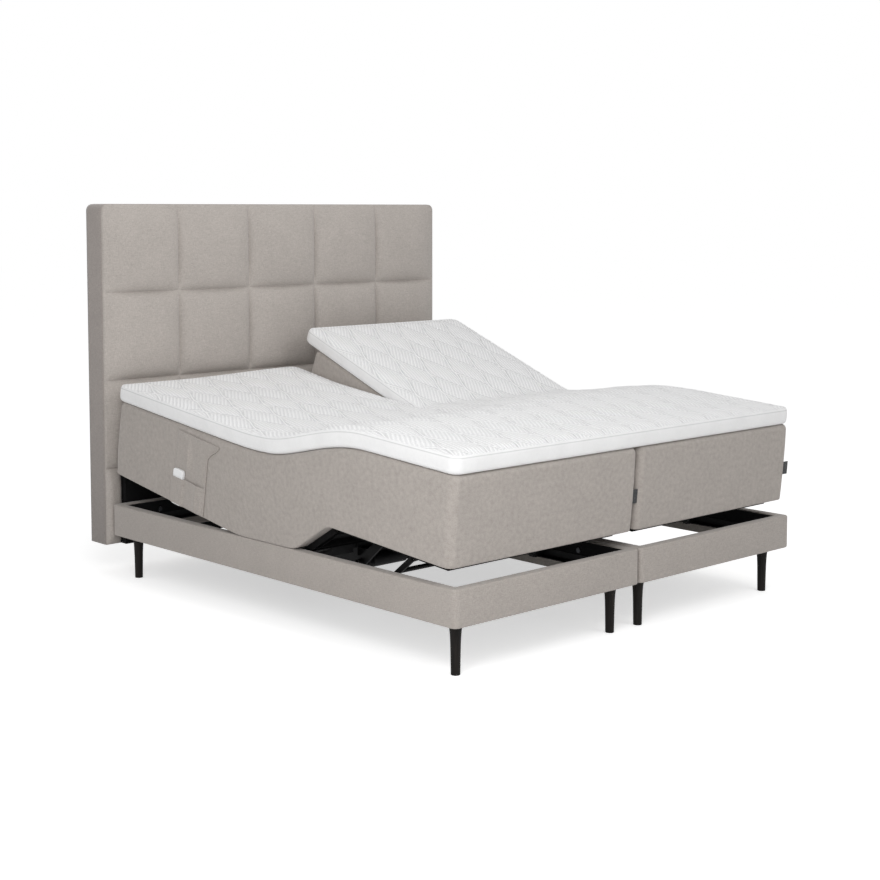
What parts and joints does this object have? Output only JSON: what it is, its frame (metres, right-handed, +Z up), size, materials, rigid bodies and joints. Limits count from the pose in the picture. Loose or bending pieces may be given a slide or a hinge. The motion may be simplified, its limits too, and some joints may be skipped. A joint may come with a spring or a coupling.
{
  "type": "adjustable double bed",
  "caption": "Double bed with two motor-adjustable upholstered box mattresses on open base frames, a head-split topper and a tufted headboard.",
  "frame": {"origin": "on the floor, below the middle of the whole bed", "axes": "+Z up, +Y from the foot end to the headboard, +X across the bed towards the half whose back is raised"},
  "size_m": [1.836, 2.15, 1.5],
  "materials": {
    "greige_fabric": "woven upholstery, fine slub",
    "dark_lining": "black non-woven",
    "topper_cover": "off-white knitted cover",
    "timber": "raw board",
    "leg_wood": "dark stained, satin",
    "black_steel": "satin black powder coat",
    "zinc_steel": "bright zinc",
    "drive_plastic": "fine grain",
    "roller_plastic": "smooth nylon",
    "handset_plastic": "smooth white",
    "key_plastic": "smooth grey"
  },
  "bodies": {
    "base": {"headboard_board": "timber", "headboard_padding": "greige_fabric", "headboard_lining": "dark_lining", "headboard_back_cloth": "dark_lining", "headboard_brackets": "black_steel", "connecting_bolts": "zinc_steel", "near_base_frame": "greige_fabric", "far_base_frame": "greige_fabric", "base_linings": "dark_lining", "legs": "leg_wood", "leg_plates": "black_steel", "near_mechanism_frame": "black_steel", "far_mechanism_frame": "black_steel", "near_seat_mattress": "greige_fabric", "far_seat_mattress": "greige_fabric", "topper_seat": "topper_cover", "near_drive": "drive_plastic", "far_drive": "drive_plastic", "control_boxes": "drive_plastic", "hinge_pins": "zinc_steel", "near_hip_fold": "greige_fabric", "far_hip_fold": "greige_fabric", "near_topper_fold": "topper_cover", "far_topper_fold": "topper_cover", "thigh_folds": "greige_fabric", "topper_thigh_fold": "topper_cover"},
    "near_back": {"near_back_deck": "black_steel", "near_back_mattress": "greige_fabric", "remote_pocket": "greige_fabric"},
    "far_back": {"far_back_deck": "black_steel", "far_back_mattress": "greige_fabric"},
    "near_topper_end": {"near_back_topper": "topper_cover"},
    "far_topper_end": {"far_back_topper": "topper_cover"},
    "near_thigh": {"near_thigh_deck": "black_steel", "near_thigh_mattress": "greige_fabric", "topper_thigh": "topper_cover", "knee_folds": "greige_fabric", "topper_knee_fold": "topper_cover"},
    "far_thigh": {"far_thigh_deck": "black_steel", "far_thigh_mattress": "greige_fabric"},
    "near_calf": {"near_calf_deck": "black_steel", "near_calf_mattress": "greige_fabric", "topper_calf": "topper_cover"},
    "far_calf": {"far_calf_deck": "black_steel", "far_calf_mattress": "greige_fabric"},
    "near_back_lift": {"near_back_lift": "black_steel"},
    "near_leg_lift": {"near_leg_lift": "black_steel"},
    "far_back_lift": {"far_back_lift": "black_steel"},
    "far_leg_lift": {"far_leg_lift": "black_steel"},
    "near_back_rollers": {"near_back_rollers": "roller_plastic"},
    "near_leg_rollers": {"near_leg_rollers": "roller_plastic"},
    "far_back_rollers": {"far_back_rollers": "roller_plastic"},
    "far_leg_rollers": {"far_leg_rollers": "roller_plastic"},
    "near_calf_strut": {"near_calf_strut": "black_steel"},
    "far_calf_strut": {"far_calf_strut": "black_steel"},
    "handset": {"handset": "handset_plastic"},
    "key_back_up": {"key_back_up": "key_plastic"},
    "key_back_down": {"key_back_down": "key_plastic"},
    "key_legs_up": {"key_legs_up": "key_plastic"},
    "key_legs_down": {"key_legs_down": "key_plastic"}
  },
  "joints": [
    {"name": "near_back_hinge", "type": "hinge", "parent": "base", "child": "near_back", "pos_m": [-0.451, 0.075, 0.286], "axis": [1, 0, 0], "range_deg": [-9, 51], "deforming": ["near_hip_fold", "near_topper_fold"]},
    {"name": "near_topper_slide", "type": "slide", "parent": "near_back", "child": "near_topper_end", "axis": [0, 0.993, 0.1185], "range_m": [-0.0341, 0.1915]},
    {"name": "near_back_lift_shaft", "type": "hinge", "parent": "base", "child": "near_back_lift", "pos_m": [-0.451, 0.075, 0.203], "axis": [1, 0, 0], "range_deg": [-7.66, 42.94]},
    {"name": "near_back_roller_axle", "type": "hinge", "parent": "near_back_lift", "child": "near_back_rollers", "pos_m": [-0.451, 0.32075, 0.28791], "axis": [1, 0, 0], "continuous": true},
    {"name": "far_back_hinge", "type": "hinge", "parent": "base", "child": "far_back", "pos_m": [0.451, 0.075, 0.286], "axis": [1, 0, 0], "range_deg": [-22, 38], "deforming": ["far_hip_fold", "far_topper_fold"]},
    {"name": "far_topper_slide", "type": "slide", "parent": "far_back", "child": "far_topper_end", "axis": [0, 0.9316, 0.3635], "range_m": [-0.0828, 0.1428]},
    {"name": "far_back_lift_shaft", "type": "hinge", "parent": "base", "child": "far_back_lift", "pos_m": [0.451, 0.075, 0.203], "axis": [1, 0, 0], "range_deg": [-18.58, 32.02]},
    {"name": "far_back_roller_axle", "type": "hinge", "parent": "far_back_lift", "child": "far_back_rollers", "pos_m": [0.451, 0.30021, 0.33292], "axis": [1, 0, 0], "continuous": true},
    {"name": "near_thigh_hinge", "type": "hinge", "parent": "base", "child": "near_thigh", "pos_m": [-0.451, -0.265, 0.286], "axis": [-1, 0, 0], "range_deg": [-31, 9], "deforming": ["thigh_folds", "topper_thigh_fold"]},
    {"name": "far_thigh_hinge", "type": "hinge", "parent": "base", "child": "far_thigh", "pos_m": [0.451, -0.265, 0.286], "axis": [-1, 0, 0], "range_deg": [-31.1, 9.1]},
    {"name": "near_knee_hinge", "type": "hinge", "parent": "near_thigh", "child": "near_calf", "pos_m": [-0.451, -0.445, 0.39416], "axis": [1, 0, 0], "range_deg": [-35.9, 10.5], "deforming": ["knee_folds", "topper_knee_fold"]},
    {"name": "near_leg_lift_shaft", "type": "hinge", "parent": "base", "child": "near_leg_lift", "pos_m": [-0.451, -0.245, 0.203], "axis": [-1, 0, 0], "range_deg": [-23.35, 6.85]},
    {"name": "near_leg_roller_axle", "type": "hinge", "parent": "near_leg_lift", "child": "near_leg_rollers", "pos_m": [-0.451, -0.39214, 0.32321], "axis": [1, 0, 0], "continuous": true},
    {"name": "near_strut_pivot", "type": "hinge", "parent": "base", "child": "near_calf_strut", "pos_m": [-0.451, -0.64, 0.227], "axis": [-1, 0, 0], "range_deg": [-28.4, 8.3]},
    {"name": "far_knee_hinge", "type": "hinge", "parent": "far_thigh", "child": "far_calf", "pos_m": [0.451, -0.445, 0.39416], "axis": [1, 0, 0], "range_deg": [-35.9, 10.5]},
    {"name": "far_leg_lift_shaft", "type": "hinge", "parent": "base", "child": "far_leg_lift", "pos_m": [0.451, -0.245, 0.203], "axis": [-1, 0, 0], "range_deg": [-23.35, 6.85]},
    {"name": "far_leg_roller_axle", "type": "hinge", "parent": "far_leg_lift", "child": "far_leg_rollers", "pos_m": [0.451, -0.39214, 0.32321], "axis": [1, 0, 0], "continuous": true},
    {"name": "far_strut_pivot", "type": "hinge", "parent": "base", "child": "far_calf_strut", "pos_m": [0.451, -0.64, 0.227], "axis": [-1, 0, 0], "range_deg": [-28.4, 8.3]},
    {"name": "handset_draw", "type": "slide", "parent": "near_back", "child": "handset", "axis": [0, -0.1564, 0.9877], "range_m": [0, 0.1]},
    {"name": "key_back_up_press", "type": "slide", "parent": "handset", "child": "key_back_up", "axis": [1, 0, 0], "range_m": [0, 0.001], "stiffness_N_per_m": 400, "springref_m": -0.001},
    {"name": "key_back_down_press", "type": "slide", "parent": "handset", "child": "key_back_down", "axis": [1, 0, 0], "range_m": [0, 0.001], "stiffness_N_per_m": 400, "springref_m": -0.001},
    {"name": "key_legs_up_press", "type": "slide", "parent": "handset", "child": "key_legs_up", "axis": [1, 0, 0], "range_m": [0, 0.001], "stiffness_N_per_m": 400, "springref_m": -0.001},
    {"name": "key_legs_down_press", "type": "slide", "parent": "handset", "child": "key_legs_down", "axis": [1, 0, 0], "range_m": [0, 0.001], "stiffness_N_per_m": 400, "springref_m": -0.001}
  ],
  "couplings": [
    {"joint": "near_topper_slide", "follows": "near_back_hinge", "m_per_rad": 0.21486},
    {"joint": "near_back_lift_shaft", "follows": "near_back_hinge", "ratio": 0.84},
    {"joint": "far_topper_slide", "follows": "far_back_hinge", "m_per_rad": 0.21486},
    {"joint": "far_back_lift_shaft", "follows": "far_back_hinge", "ratio": 0.84},
    {"joint": "far_thigh_hinge", "follows": "near_thigh_hinge", "ratio": 1},
    {"joint": "near_knee_hinge", "follows": "near_thigh_hinge", "ratio": 1.1548},
    {"joint": "near_leg_lift_shaft", "follows": "near_thigh_hinge", "ratio": 0.75},
    {"joint": "near_strut_pivot", "follows": "near_thigh_hinge", "ratio": 0.912},
    {"joint": "far_knee_hinge", "follows": "near_thigh_hinge", "ratio": 1.1548},
    {"joint": "far_leg_lift_shaft", "follows": "near_thigh_hinge", "ratio": 0.75},
    {"joint": "far_strut_pivot", "follows": "near_thigh_hinge", "ratio": 0.912}
  ]
}
